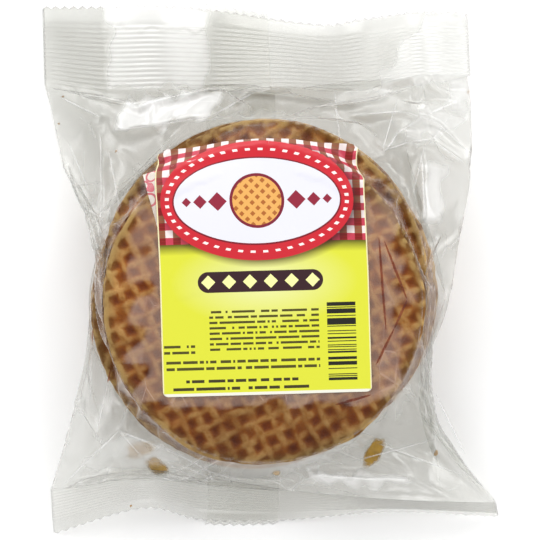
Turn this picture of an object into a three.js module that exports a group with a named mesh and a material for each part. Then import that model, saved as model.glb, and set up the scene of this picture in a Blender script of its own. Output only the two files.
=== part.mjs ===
// A sealed clear film bag of five round filled waffles, lying on its back with its paper label up.
// The bag is one tube of film: it is drawn tight over the stack of waffles, spreads flat to both
// ends, and each end is a wide crimped seal with cross ribs and a saw-tooth cut. A lap seam runs
// up the back. Millimetres, +X to the right of the label, +Y to its top edge, +Z up.
import * as THREE from 'three';
import { mergeVertices } from 'three/addons/utils/BufferGeometryUtils.js';

// The stack: each waffle's centre and radius, from the lowest to the one under the label.
const WAFFLE_HEIGHT = 8;
const WAFFLES = [
  { x: -1.0, y: -9.0, radius: 61.5 },
  { x: 3.8, y: -8.2, radius: 60.9 },
  { x: -6.1, y: -13.6, radius: 61.3 },
  { x: -2.3, y: -4.8, radius: 62.8 },
  { x: -1.9, y: -12.4, radius: 62.8 },
];
const STACK_HEIGHT = WAFFLE_HEIGHT * WAFFLES.length;

// The film, as thick as both layers and their crimp stand in the seals.
const FILM = 1.2;
const FILM_SLACK = 0.8;          // how far the film stands off the waffles' sides
const SHOULDER = 7;              // radius of the film's bend over the top waffle's rim
const SHOULDER_ANGLE = 45;       // degrees that it turns down there
const BASE_RADIUS = 57;          // the flat round spot that the bag rests on
const BASE_RIM_HEIGHT = 1.2;
const LOWER_WRAP_HEIGHT = 9;     // up to here the film lies against the lowest waffle
const UPPER_WRAP_HEIGHT = 30;    // from here up it leans to the top waffle
const PLEAT = 0.8;               // height of the small pleats towards the seals

// The crimped end seals.
const RIB_COUNT = 14;
const RIB_PITCH = 1.95;
const RIB_HEIGHT = 0.35;
const SEAL_WIDTH = 35;           // from the pouch to the cut, ribs and plain margin together
const RIBBED_SHARE = RIB_COUNT * RIB_PITCH / SEAL_WIDTH;
const TEETH_PER_COLUMN = 2;
const TOOTH_DEPTH = 1.1;
const LAP = { left: -24.3, right: 3.9, step: 2.2 };   // the lap seam, cut a little longer

const SEAL_COLUMNS = 24;
const SIDE_STEPS = 14;

// The paper label, stuck on over the top waffle.
const LABEL = { width: 80, height: 99, thickness: 0.3, gap: 0.5, corner: 2, turn: 1.45 };
const LABEL_CENTRE = { x: -2.3, y: 2.2 };
const LABEL_STEPS = { across: 14, along: 18 };
const LABEL_CROWDING = 1.6;      // above 1, the label's cells get smaller towards its bent top

// The pouch's edge and the seals' cuts, as smooth lines through a few points (x, y, height).
const TOP_SEAL_LINE = curve([
  [-88.5, 74, 9], [-64, 70.5, 16], [-27, 70, 13], [0, 72, 11.5], [35, 71, 11], [52, 75, 16],
  [78, 76, 13],
]);
const TOP_CUT = curve([
  [-89.7, 104, 8], [-66, 103.5, 15], [-44, 103.6, 12], [-8, 101, 10], [19.5, 97, 8],
  [48, 101, 16], [77.8, 101.8, 20],
]);
const BOTTOM_SEAL_LINE = curve([
  [-86, -86, 13], [-52, -80.5, 21], [-23, -84.5, 15], [15, -87, 16], [52, -89.5, 18],
  [88.3, -90.8, 13],
]);
const BOTTOM_CUT = curve([
  [-85.5, -104.4, 6], [-50, -93.4, 14], [-30, -98.8, 5.5], [4, -99.4, 4], [48, -95, 4.5],
  [90.3, -97.4, 3],
]);
const LEFT_SIDE = curve([
  [-88.5, 74, 9], [-83.5, 48, 14], [-72.5, 22, 19], [-68.6, 2, 20], [-71.5, -30, 20],
  [-77.5, -56, 18], [-86, -86, 13],
]);
const RIGHT_SIDE = curve([
  [78, 76, 13], [78.8, 39, 16], [74.5, 15, 19], [68.8, -15, 20], [64.6, -35, 20],
  [65.8, -58, 19], [88.3, -90.8, 13],
]);

function curve(points) {
  return new THREE.CatmullRomCurve3(points.map((p) => new THREE.Vector3(...p)));
}

function samples(line, steps) {
  return line.getSpacedPoints(steps);
}

function polar(centre, angle, radius, height) {
  return new THREE.Vector3(
    centre.x + radius * Math.cos(angle),
    centre.y + radius * Math.sin(angle),
    height,
  );
}

// Adds the four corners a, b, c, d of a cell as two triangles, seen counter-clockwise.
function addQuad(faces, a, b, c, d) {
  faces.push([a, b, c], [a, c, d]);
}

// Closes a list of triangles of Vector3 into one indexed geometry with shared corners.
function solidOf(faces) {
  const places = faces.flatMap((face) => face.flatMap((p) => [p.x, p.y, p.z]));
  const soup = new THREE.BufferGeometry();
  soup.setAttribute('position', new THREE.Float32BufferAttribute(places, 3));
  const merged = mergeVertices(soup, 1e-4);
  merged.computeVertexNormals();
  return merged;
}

// How far the stack reaches from its top waffle's centre in one direction: the farthest point
// where a ray from there leaves any of the waffles.
function stackReach(angle) {
  const top = WAFFLES.at(-1);
  const way = new THREE.Vector2(Math.cos(angle), Math.sin(angle));
  return Math.max(...WAFFLES.map(({ x, y, radius }) => {
    const to = new THREE.Vector2(x - top.x, y - top.y);
    const along = to.dot(way);
    return along + Math.sqrt(radius ** 2 - to.lengthSq() + along ** 2);
  }));
}

// The film's path down over the top waffle's rim, by its length from the waffle's centre and
// its height off the film: flat, then round a bend, then straight on at the shoulder's angle.
function shoulder(length, offset = 0) {
  const turn = THREE.MathUtils.degToRad(SHOULDER_ANGLE);
  const flat = WAFFLES.at(-1).radius - SHOULDER * Math.tan(turn / 2);
  const bend = THREE.MathUtils.clamp((length - flat) / SHOULDER, 0, turn);
  const past = Math.max(length - flat - SHOULDER * turn, 0);
  const round = SHOULDER + offset;
  return {
    radius: Math.min(length, flat) + round * Math.sin(bend) + past * Math.cos(turn),
    height: STACK_HEIGHT - SHOULDER + round * Math.cos(bend) - past * Math.sin(turn),
  };
}

// The pouch's edge all round, counter-clockwise from above, with the seals' ends marked.
function pouchEdge() {
  const sides = [
    { points: samples(TOP_SEAL_LINE, SEAL_COLUMNS).reverse(), sealed: true },
    { points: samples(LEFT_SIDE, SIDE_STEPS), sealed: false },
    { points: samples(BOTTOM_SEAL_LINE, SEAL_COLUMNS), sealed: true },
    { points: samples(RIGHT_SIDE, SIDE_STEPS).reverse(), sealed: false },
  ];
  return sides.flatMap(({ points, sealed }) => points.slice(0, -1).map(
    (place, i) => ({ place, sealed, pleated: sealed && i > 0 && i % 2 === 0 }),
  ));
}

// The film's section through one point of the pouch's edge: from the middle of the base out to
// the edge along the back, and from the edge up over the rim to the middle of the top.
function pouchSection({ place, pleated }) {
  const top = WAFFLES.at(-1);
  const angle = Math.atan2(place.y - top.y, place.x - top.x);
  const wrap = stackReach(angle) + FILM_SLACK;
  const edge = Math.hypot(place.x - top.x, place.y - top.y);
  const lower = place.clone().setZ(place.z - FILM / 2);
  const upper = place.clone().setZ(place.z + FILM / 2);
  const bent = shoulder(WAFFLES.at(-1).radius + SHOULDER);
  const fall = bent.height - UPPER_WRAP_HEIGHT;
  const taut = THREE.MathUtils.lerp(bent.radius, edge, fall / (bent.height - upper.z));
  const leaning = Math.min(taut, bent.radius + fall);
  const wrapUp = polar(top, angle, Math.max(wrap, leaning), UPPER_WRAP_HEIGHT);
  const wrapDown = polar(top, angle, wrap, LOWER_WRAP_HEIGHT);
  const pleat = pleated ? PLEAT : -PLEAT / 2;
  const middleUp = wrapUp.clone().lerp(upper, 0.5);
  const middleDown = wrapDown.clone().lerp(lower, 0.5);
  middleUp.z += pleat;
  middleDown.z += pleat / 2;
  const start = shoulder(top.radius - SHOULDER / 2);
  const halfway = shoulder(top.radius + SHOULDER / 4);
  return [
    polar(WAFFLES[0], angle, BASE_RADIUS, 0),
    polar(WAFFLES[0], angle, WAFFLES[0].radius - FILM, BASE_RIM_HEIGHT),
    wrapDown,
    middleDown,
    lower,
    upper,
    middleUp,
    wrapUp,
    polar(top, angle, bent.radius, bent.height),
    polar(top, angle, halfway.radius, halfway.height),
    polar(top, angle, start.radius, start.height),
  ];
}

const EDGE_ROW = 4;              // the row of a section at the edge's lower side

function addPouch(faces) {
  const edge = pouchEdge();
  const sections = edge.map(pouchSection);
  const base = new THREE.Vector3(WAFFLES[0].x, WAFFLES[0].y, 0);
  const crown = new THREE.Vector3(WAFFLES.at(-1).x, WAFFLES.at(-1).y, STACK_HEIGHT);
  sections.forEach((section, i) => {
    const next = sections[(i + 1) % sections.length];
    faces.push([base, next[0], section[0]], [crown, section.at(-1), next.at(-1)]);
    for (let row = 0; row < section.length - 1; row += 1) {
      if (row === EDGE_ROW && edge[i].sealed) continue;
      addQuad(faces, section[row], next[row], next[row + 1], section[row + 1]);
    }
  });
}

// The height that the crimp adds at one row of a seal: up, down, up, down, and none at its ends.
function ribHeight(row) {
  if (row === 0 || row > 2 * RIB_COUNT) return 0;
  return row % 2 ? RIB_HEIGHT : -RIB_HEIGHT;
}

// One row across a seal, from the pouch at row 0 to the last rib, on the film's lower or upper
// side.
function sealRow(line, cut, row, side) {
  const share = row * RIBBED_SHARE / (2 * RIB_COUNT);
  return line.map((start, i) => {
    const place = start.clone().lerp(cut[i], share);
    place.z += side * FILM / 2 + ribHeight(row);
    return place;
  });
}

// The saw-tooth cut: every other point of the edge is drawn in by a tooth, and the lap seam
// stands out a little past the rest.
function cutRow(cut, outwards, side) {
  const perColumn = 2 * TEETH_PER_COLUMN;
  const places = [];
  for (let i = 0; i <= SEAL_COLUMNS * perColumn; i += 1) {
    const column = Math.min(Math.floor(i / perColumn), SEAL_COLUMNS - 1);
    const place = cut[column].clone().lerp(cut[column + 1], i / perColumn - column);
    const lapped = place.x > LAP.left && place.x < LAP.right;
    place.y += outwards * ((lapped ? LAP.step : 0) - (i % 2 ? TOOTH_DEPTH : 0));
    place.z += side * FILM / 2;
    places.push(place);
  }
  return places;
}

// The cells between the last rib and the cut, whose edge has four points for each column.
function addTeeth(rows, teeth, addCell) {
  for (let i = 0; i < SEAL_COLUMNS; i += 1) {
    const [e0, e1, e2, e3, e4] = teeth.slice(4 * i, 4 * i + 5);
    const [a, b] = [rows.at(-1)[i], rows.at(-1)[i + 1]];
    [[a, e1, e0], [a, e2, e1], [a, b, e2], [b, e3, e2], [b, e4, e3]].forEach(addCell);
  }
}

// A seal's two faces, its cut and its two short ends. It meets the pouch along row 0.
function addSeal(faces, sealLine, cutLine, outwards) {
  const line = samples(sealLine, SEAL_COLUMNS);
  const cut = samples(cutLine, SEAL_COLUMNS);
  const rowCount = 2 * RIB_COUNT + 1;
  const [lower, upper] = [-1, 1].map((side) => ({
    rows: Array.from({ length: rowCount }, (_, row) => sealRow(line, cut, row, side)),
    teeth: cutRow(cut, outwards, side),
  }));
  const added = [];
  const addUpper = ([a, b, c]) => added.push([a, b, c]);
  const addLower = ([a, b, c]) => added.push([a, c, b]);
  [[upper, addUpper], [lower, addLower]].forEach(([{ rows, teeth }, add]) => {
    for (let row = 0; row < rowCount - 1; row += 1) {
      for (let i = 0; i < SEAL_COLUMNS; i += 1) {
        const [a, b] = [rows[row][i], rows[row][i + 1]];
        const [c, d] = [rows[row + 1][i + 1], rows[row + 1][i]];
        add([a, b, c]);
        add([a, c, d]);
      }
    }
    addTeeth(rows, teeth, add);
  });
  for (let i = 0; i < upper.teeth.length - 1; i += 1) {
    addQuad(added, upper.teeth[i], upper.teeth[i + 1], lower.teeth[i + 1], lower.teeth[i]);
  }
  const end = ({ rows, teeth }, i) => [...rows.map((row) => row.at(i)), teeth.at(i)];
  [[0, false], [-1, true]].forEach(([i, flipped]) => {
    const [high, low] = [end(upper, i), end(lower, i)];
    for (let row = 0; row < high.length - 1; row += 1) {
      const cell = [high[row], high[row + 1], low[row + 1], low[row]];
      addQuad(added, ...(flipped ? cell.reverse() : cell));
    }
  });
  // Built for the seal at +Y; the one at -Y is its mirror image, so its faces turn over.
  faces.push(...(outwards > 0 ? added : added.map(([a, b, c]) => [a, c, b])));
}

function bag() {
  const faces = [];
  addPouch(faces);
  addSeal(faces, TOP_SEAL_LINE, TOP_CUT, 1);
  addSeal(faces, BOTTOM_SEAL_LINE, BOTTOM_CUT, -1);
  return solidOf(faces);
}

// Grid lines over the label, the outer ones a corner's radius in from its edges. spread says
// where each lies between -1 and 1, so that the cells are smallest where the label bends.
function labelLines(size, steps, spread) {
  const inner = size / 2 - LABEL.corner;
  const lines = Array.from({ length: steps - 1 }, (_, i) => inner * spread(i / (steps - 2)));
  return [-size / 2, ...lines, size / 2];
}

// A point of the label at x, y from its middle: turned with the label, then bent down over the
// top waffle's rim with the film, some way above it.
function labelPoint(x, y, offset) {
  const top = WAFFLES.at(-1);
  const turn = THREE.MathUtils.degToRad(LABEL.turn);
  const flat = new THREE.Vector2(x, y).rotateAround(new THREE.Vector2(), turn);
  const [dx, dy] = [flat.x + LABEL_CENTRE.x - top.x, flat.y + LABEL_CENTRE.y - top.y];
  const { radius, height } = shoulder(Math.hypot(dx, dy), offset);
  return polar(top, Math.atan2(dy, dx), radius, height);
}

function label() {
  const across = labelLines(LABEL.width, LABEL_STEPS.across, (t) => -Math.cos(Math.PI * t));
  const along = labelLines(LABEL.height, LABEL_STEPS.along,
    (t) => 1 - 2 * (1 - t) ** LABEL_CROWDING);
  const inset = LABEL.corner * (1 - Math.SQRT1_2);
  const side = (offset) => along.map((y, j) => across.map((x, i) => {
    const corner = Math.abs(x) === LABEL.width / 2 && Math.abs(y) === LABEL.height / 2;
    const cut = corner ? inset : 0;
    return labelPoint(x - Math.sign(x) * cut, y - Math.sign(y) * cut, offset);
  }));
  const under = side(LABEL.gap);
  const over = side(LABEL.gap + LABEL.thickness);
  const faces = [];
  const [rows, columns] = [along.length - 1, across.length - 1];
  for (let j = 0; j < rows; j += 1) {
    for (let i = 0; i < columns; i += 1) {
      addQuad(faces, over[j][i], over[j][i + 1], over[j + 1][i + 1], over[j + 1][i]);
      addQuad(faces, under[j][i], under[j + 1][i], under[j + 1][i + 1], under[j][i + 1]);
    }
    addQuad(faces, under[j][0], over[j][0], over[j + 1][0], under[j + 1][0]);
    addQuad(faces, under[j][columns], under[j + 1][columns], over[j + 1][columns],
      over[j][columns]);
  }
  for (let i = 0; i < columns; i += 1) {
    addQuad(faces, under[0][i], under[0][i + 1], over[0][i + 1], over[0][i]);
    addQuad(faces, under[rows][i], over[rows][i], over[rows][i + 1], under[rows][i + 1]);
  }
  return solidOf(faces);
}

const clearFilm = new THREE.MeshStandardMaterial({
  color: 0xdfe0d8, roughness: 0.15, metalness: 0, transparent: true, opacity: 0.3,
});
const printedPaper = new THREE.MeshStandardMaterial({
  color: 0xe1e63c, roughness: 0.45, metalness: 0,
});

function named(name, geometry, material) {
  const mesh = new THREE.Mesh(geometry, material);
  mesh.name = name;
  return mesh;
}

const pack = new THREE.Group();
pack.add(named('bag', bag(), clearFilm), named('label', label(), printedPaper));

// The origin is at the middle of the pack's footprint, on the surface it lies on.
const box = new THREE.Box3().setFromObject(pack);
pack.position.set(-(box.min.x + box.max.x) / 2, -(box.min.y + box.max.y) / 2, -box.min.z);
pack.updateMatrixWorld(true);

export default pack;
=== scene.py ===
"""A sealed clear film bag of five round filled waffles, on its back with its paper label up.

The sections follow the pack as it is put together: the baked and filled waffles, the absorber
sachet on top of them, the tube of film drawn over the stack and crimped at both ends, its lap
seam and its creases, the crumbs and smears inside it, the printed label, and last the table, the
lamps and the camera. Shapes are worked out in millimetres, and each mesh is made in metres.
"""

from functools import partial

import bpy
import numpy as np
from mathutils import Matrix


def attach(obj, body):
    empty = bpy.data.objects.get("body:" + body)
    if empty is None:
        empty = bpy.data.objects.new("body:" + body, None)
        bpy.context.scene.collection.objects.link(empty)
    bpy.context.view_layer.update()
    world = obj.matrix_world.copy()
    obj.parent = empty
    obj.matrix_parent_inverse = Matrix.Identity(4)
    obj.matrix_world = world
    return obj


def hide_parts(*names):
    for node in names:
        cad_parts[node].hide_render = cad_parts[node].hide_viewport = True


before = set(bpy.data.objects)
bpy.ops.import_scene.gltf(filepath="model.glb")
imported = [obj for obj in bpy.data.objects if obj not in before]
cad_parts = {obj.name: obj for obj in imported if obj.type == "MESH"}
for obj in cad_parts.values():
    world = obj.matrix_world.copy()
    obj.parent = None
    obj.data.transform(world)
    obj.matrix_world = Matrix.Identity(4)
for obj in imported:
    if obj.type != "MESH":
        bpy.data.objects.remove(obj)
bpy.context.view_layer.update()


# ---- Waffles -----------------------------------------------------------------------------------
# Five thin round waffles of wheat batter, each baked between two engraved irons that press a
# square lattice into both faces, then split and stuck together again with brown sugar cream.
# They lie one on another, a little out of line.

MM = 0.001
WAFFLE_HEIGHT = 7.95
STACK_FOOT = 0.3                 # the lowest waffle lies on the bag's back
STACK = [                        # middle x, y, radius and the lattice's turn in degrees
    (-1.3, -9.1, 61.5, 50),
    (3.5, -8.3, 60.9, 8),
    (-7.8, -14.0, 62.6, 66),
    (-2.8, -4.4, 62.8, 35),
    (-3.3, -12.6, 61.4, 26),
]
WAFER = 3.25                     # one baked half
FILLING_INSET = 1.6              # the cream stops short of the rim
CREAM_SINK = 0.1                 # and sinks this far into both halves
UPPER_SHIFT = (0.4, -0.3)        # the upper half lies a little off the lower one,
LOWER_TURN = 4                   # whose lattice is turned by so many degrees more
LOWER_SHOWS = 8                  # mm in from the rim that a hidden face is drawn finely
UPPER_SHOWS = 24
LATTICE = 6.2
RIDGE = 0.5                      # a ridge's flat top
RIDGE_FLANK = 2.4
PIT_DEPTH = 1.4
LIP = 1.1
FACE_STEP = 0.72                 # rows on a lattice face that shows
BACK_STEP = 9.0                  # and on one that is hidden
ROUND = 480                      # columns round a waffle


def smooth(value, low, high):
    """0 below low, 1 above high, and 3t^2 - 2t^3 between them."""
    share = np.clip((value - low) / (high - low), 0, 1)
    return share * share * (3 - 2 * share)


def ripple(angle, size, waves, seed):
    """An uneven line that closes on itself: the sum of sines of 1, 2 ... waves turns round, each
    with a random start, and smaller the shorter its wave."""
    draw = np.random.default_rng(seed)
    count = np.arange(1, waves + 1)
    start = draw.uniform(0, 2 * np.pi, waves)
    height = draw.normal(size=waves) / count**0.6
    total = (height * np.sin(angle[..., None] * count + start)).sum(-1)
    return size * total / np.sqrt((height**2).sum() / 2)


def patches(x, y, size, seed):
    """An uneven field over the plane, of mean 0 and spread 1: the sum of twelve plane waves, each
    in a random direction, with wavelengths round about size."""
    draw = np.random.default_rng(seed)
    field = 0
    for angle, length, start in draw.uniform((0, 0.7, 0), (np.pi, 1.5, 2 * np.pi), (12, 3)):
        run = x * np.cos(angle) + y * np.sin(angle)
        field = field + np.sin(2 * np.pi * run / (size * length) + start)
    return field / np.sqrt(6)


def on_turned(x, y, degrees):
    """x and y measured along axes turned by an angle: x cos + y sin, and y cos - x sin."""
    c, s = np.cos(np.radians(degrees)), np.sin(np.radians(degrees))
    return x * c + y * s, y * c - x * s


def lattice(x, y, turn, seed):
    """The pressed pattern, 1 on a ridge and 0 in a pit: across each of two crossed directions a
    ridge stands at every multiple of LATTICE, and the higher of the two counts. Uneven fields
    bend the lines, as in a crust that has shrunk, and make ridges wider or lower in places."""
    along, across = on_turned(x, y, turn)
    along = along + 0.3 * patches(x, y, 30, seed) + 0.13 * patches(x, y, 7, seed + 1)
    across = across + 0.3 * patches(x, y, 34, seed + 2) + 0.13 * patches(x, y, 8, seed + 3)
    ridges = []
    for number, place in enumerate((along, across)):
        off = np.abs((place / LATTICE + 0.5) % 1 - 0.5) * LATTICE
        wide = RIDGE / 2 * (1 + 0.5 * patches(x, y, 9, seed + 4 + number))
        crest = np.clip(0.8 + 0.2 * patches(x, y, 6, seed + 6 + number), 0.3, 1)
        ridges.append(crest * (1 - smooth(off, wide, wide + RIDGE_FLANK)))
    return np.maximum(*ridges)


def new_piece(name, body, material, values=None):
    """A smooth shaded mesh from a body: its points in millimetres, and lists of faces of three or
    four corners. values are numbers for each point that its material reads by name."""
    points, faces = body[:2]
    mesh = bpy.data.meshes.new(name)
    mesh.vertices.add(len(points))
    mesh.vertices.foreach_set("co", (np.asarray(points) * MM).ravel())
    counts = np.concatenate([np.full(len(group), group.shape[1]) for group in faces])
    corners = np.concatenate([group.ravel() for group in faces])
    mesh.loops.add(len(corners))
    mesh.loops.foreach_set("vertex_index", corners)
    mesh.polygons.add(len(counts))
    mesh.polygons.foreach_set("loop_start", np.cumsum(counts) - counts)
    mesh.update(calc_edges=True)
    mesh.shade_smooth()
    for key, numbers in (values or {}).items():
        mesh.attributes.new(key, "FLOAT", "POINT").data.foreach_set("value", numbers.ravel())
    mesh.materials.append(material)
    piece = bpy.data.objects.new(name, mesh)
    bpy.context.collection.objects.link(piece)
    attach(piece, "root")
    return piece


def ring_faces(rows, columns, start=0):
    """The cells of a grid of rows that close on themselves: corner (j, i) to (j, i + 1), then to
    the row after."""
    near = start + np.arange(rows * columns).reshape(rows, columns)
    right = np.roll(near, -1, axis=1)
    return np.stack([near[:-1], right[:-1], right[1:], near[1:]], -1).reshape(-1, 4)


def turned(profile_rows):
    """Points and faces of a body turned from rows of equal length, the first and last of which
    shrink to a pole each. Row 0 is on top, and its poles are the means of their rows."""
    rows, columns, _ = profile_rows.shape
    poles = profile_rows[[0, -1]].mean(axis=1)
    points = np.concatenate([profile_rows.reshape(-1, 3), poles])
    top, last = rows * columns, (rows - 1) * columns
    here = np.arange(columns)
    after = np.roll(here, -1)
    caps = np.concatenate([
        np.stack([np.full(columns, top), here, after], -1),
        np.stack([np.full(columns, top + 1), last + after, last + here], -1),
    ])
    return points, [ring_faces(rows, columns)[:, ::-1], caps]


def wafer(x0, y0, radius, turn, base, face_up, open_from, seed):
    """One baked half. Its profile runs over the lattice face from the middle out, round the
    lip's half circle and back along the flat side, and is carried round with an uneven radius.
    The lattice sinks PIT_DEPTH below the face; a thin lip runs along the rim. Returns points,
    faces, and for each point how deep in a pit and how near the rim it lies."""
    angle = np.linspace(0, 2 * np.pi, ROUND, endpoint=False)
    rim = radius + ripple(angle, 0.45, 9, seed) + ripple(angle, 0.2, 70, seed + 1)
    hidden = np.arange(2.0, open_from, BACK_STEP)
    shown = np.arange(max(open_from, 2.0), radius - 0.3, FACE_STEP)
    reach = np.concatenate([hidden, shown]) / radius
    bend = np.radians(np.linspace(75, -90, 8))
    back = np.arange(radius - 6, 3, -2 * BACK_STEP) / radius
    inset = rim - LIP
    r = np.concatenate([
        reach[:, None] * inset,
        inset + LIP * np.cos(bend)[:, None] * np.ones_like(rim),
        back[:, None] * inset,
    ])
    x, y = r * np.cos(angle) + x0, r * np.sin(angle) + y0
    raised = lattice(x, y, turn, 100 * seed)
    filled = np.clip(0.08 + 0.13 * patches(x, y, 8, seed + 5), 0, 0.4)
    raised = filled + (1 - filled) * raised
    lip = smooth(r, inset - 1.5, inset - 0.4) * (0.5 + 0.45 * ripple(angle, 1, 40, seed + 2))
    raised = np.clip(np.maximum(raised, lip), 0, 1)
    sag = 0.3 + 0.12 * patches(x, y, 60, seed + 3) + 0.1 * patches(x, y, 11, seed + 4)
    sag = np.clip(sag, 0, 1)
    count = len(reach)
    height = np.zeros_like(r)
    height[:count] = WAFER - PIT_DEPTH * (1 - raised[:count]) - sag[:count]
    edge_top = height[count - 1]
    rise = (np.sin(bend)[:, None] + 1) / 2
    height[count:count + len(bend)] = edge_top * rise
    z = base + height if face_up else base + WAFER - height
    rows = np.stack([x, y, z], -1)
    points, faces = turned(rows)
    if not face_up:
        faces = [group[:, ::-1] for group in faces]
    pit = np.append((1 - raised).ravel(), [0, 0])
    rim_share = np.append(smooth(r, rim - 5, rim - 0.5).ravel(), [0, 0])
    return points, faces, pit, rim_share


def linear(hex_colour):
    """An sRGB hex colour as linear red, green, blue and a full alpha: c / 12.92 below 0.04045,
    and ((c + 0.055) / 1.055)^2.4 above it."""
    parts = np.array([int(hex_colour[i:i + 2], 16) for i in (1, 3, 5)]) / 255
    dark = parts / 12.92
    light = ((parts + 0.055) / 1.055) ** 2.4
    return (*np.where(parts < 0.04045, dark, light), 1)


def add_node(tree, kind, *values, named=None, out=0, **settings):
    """Adds a node with its settings; kind may name its operation or data type after a dot. values
    go to its open inputs in turn and named ones by name: a socket is linked, a hex colour made
    linear, and anything else but None is set. Returns one of its open outputs."""
    kind, _, choice = kind.partition(".")
    made = tree.nodes.new("ShaderNode" + kind)
    if choice:
        settings["data_type" if kind == "Mix" else "operation"] = choice
    for key, value in settings.items():
        setattr(made, key, value)
    places = [s for s in made.inputs if s.enabled]
    pairs = list(zip(places, values)) + [(made.inputs[k], v) for k, v in (named or {}).items()]
    for place, value in pairs:
        if isinstance(value, bpy.types.NodeSocket):
            tree.links.new(value, place)
        elif value is not None:
            place.default_value = linear(value) if isinstance(value, str) else value
    opened = [s for s in made.outputs if s.enabled]
    return opened[out] if opened else None


def new_material(name):
    """An empty node material, and the function that adds nodes to it."""
    material = bpy.data.materials.new(name)
    material.use_nodes = True
    material.node_tree.nodes.clear()
    return material, partial(add_node, material.node_tree)


def baked_crust():
    """Wheat crust, oven browned: tan ridges, orange-brown flanks and dark pits that held the most
    fat, each cell baked a little more or less, a paler olive rim that the irons hardly touched,
    darker and lighter patches, and a fine open grain. Over all of it the colour turns darker
    towards -y, the pack's foot. Matt, with a little shine where it is oily."""
    material, add = new_material("browned_waffle_crust")
    place = add("TexCoord", out=3)
    pit = add("Attribute", attribute_name="pit", out=2)
    rim = add("Attribute", attribute_name="rim", out=2)
    patch, cell, blotch, grain = [
        add("TexNoise", place, named={"Scale": scale, "Detail": detail})
        for scale, detail in ((55, 2), (140, 1), (330, 3), (1300, 3))]

    between = partial(add, "Mix.RGBA")
    spread = add("MapRange", blotch, 0.3, 0.7, 0.0, 1.0)
    ridge = between(spread, "#A46C2F", "#CA9B5E")
    flank = between(spread, "#86450F", "#A6631F")
    sunk = between(spread, "#5C2406", "#823C0A")
    speckled = add("Math.MULTIPLY_ADD", blotch, 0.8, -0.4)
    depth = add("Math.ADD", pit, speckled)
    uneven = add("Math.MULTIPLY_ADD", cell, 0.9, -0.45)
    depth = add("Math.ADD", depth, uneven)
    lower = add("MapRange", depth, 0.1, 0.5, 0.0, 1.0)
    deepest = add("MapRange", depth, 0.45, 0.95, 0.0, 1.0)
    crust = between(deepest, between(lower, ridge, flank), sunk)
    pale = between(lower, "#B5935A", "#7E5420")
    crust = between(rim, crust, pale)
    light = add("MapRange", patch, 0.3, 0.7, 0.8, 1.12)
    along = add("SeparateXYZ", place)
    # the colour turns darker towards -y, the pack's foot, over every waffle
    side = add("MapRange", along.node.outputs[1], -0.07, 0.0, 0.68, 1.05)
    light = add("Math.MULTIPLY", light, side)
    crust = add("VectorMath.SCALE", crust, light)
    height = add("Math.ADD", blotch, grain)
    bump = add("Bump", named={"Height": height, "Strength": 0.6, "Distance": 0.0006})
    shader = add("BsdfPrincipled", named={
        "Base Color": crust, "Roughness": 0.5, "IOR": 1.45, "Specular IOR Level": 0.25,
        "Normal": bump})
    add("OutputMaterial", shader)
    return material


def grainy(name, noise, colours, relief, **surface):
    """An even material with a fine grain: one noise of a scale and detail mixes two colours and
    raises the surface by a strength and distance. surface is what else its shader is told."""
    material, add = new_material(name)
    place = add("TexCoord", out=3)
    grain = add("TexNoise", place, named=dict(zip(("Scale", "Detail"), noise)))
    colour = add("Mix.RGBA", grain, *colours)
    bump = add("Bump", named={"Height": grain, "Strength": relief[0], "Distance": relief[1]})
    shader = add("BsdfPrincipled", named={"Base Color": colour, "Normal": bump, **surface})
    add("OutputMaterial", shader)
    return material


def joined(parts):
    """Several bodies' points and faces as one set, the faces counted on from body to body."""
    starts = np.cumsum([0] + [len(part[0]) for part in parts[:-1]])
    points = np.concatenate([part[0] for part in parts])
    faces = [group + start for part, start in zip(parts, starts) for group in part[1]]
    return points, faces


def filling(x0, y0, radius, base, height, seed):
    """The cream as a low disc with a swollen, uneven edge: a profile of r and height carried
    round, r following the rim FILLING_INSET further in."""
    angle = np.linspace(0, 2 * np.pi, ROUND // 2, endpoint=False)
    edge = radius - FILLING_INSET + ripple(angle, 0.5, 30, seed)
    share = np.array([0.1, 0.9, 1.0, 1.0, 0.9, 0.1])[:, None]
    level = np.array([1.0, 1.0, 0.75, 0.25, 0.0, 0.0])[:, None] * np.ones_like(angle)
    r = edge * share
    rows = np.stack([r * np.cos(angle) + x0, r * np.sin(angle) + y0, base + height * level], -1)
    return turned(rows)


crust = baked_crust()
# brown sugar and butter cream, spread warm: dark, grainy and a bit shiny
cream = grainy("brown_sugar_cream", (1400, 2), ("#5B3113", "#8A5526"), (0.6, 0.0004),
               Roughness=0.38, IOR=1.47)
for number, (x0, y0, radius, turn) in enumerate(STACK):
    foot = STACK_FOOT + WAFFLE_HEIGHT * number
    on_top, lowest = number == len(STACK) - 1, number == 0
    halves = [
        wafer(x0, y0, radius, turn + LOWER_TURN, foot, False,
              1.0 if lowest else radius - LOWER_SHOWS, 10 * number),
        wafer(x0 + UPPER_SHIFT[0], y0 + UPPER_SHIFT[1], radius, turn,
              foot + WAFFLE_HEIGHT - WAFER, True,
              1.0 if on_top else radius - UPPER_SHOWS, 10 * number + 5),
    ]
    new_piece(f"waffle_{number + 1}", joined(halves), crust, {
        "pit": np.concatenate([half[2] for half in halves]),
        "rim": np.concatenate([half[3] for half in halves]),
    })
    cream_height = WAFFLE_HEIGHT - 2 * WAFER + 2 * CREAM_SINK
    layer = filling(x0, y0, radius, foot + WAFER - CREAM_SINK, cream_height, 10 * number + 8)
    new_piece(f"filling_{number + 1}", layer, cream)


# ---- Sachet ------------------------------------------------------------------------------------
# A small white paper sachet that absorbs the oxygen in the bag, filled with powder and sealed
# flat round its edge. It lies loose on the top waffle and hangs over its rim at one corner.

SACHET = 50.0                    # square
SACHET_MIDDLE = (-18.3, 19.6)
SACHET_TURN = 16.0
SACHET_FILL = 1.3
SACHET_SEAL = 5.0
PAPER = 0.15
SACHET_LIFT = 0.05               # off the waffle
STACK_TOP = STACK_FOOT + WAFFLE_HEIGHT * len(STACK)


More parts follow.
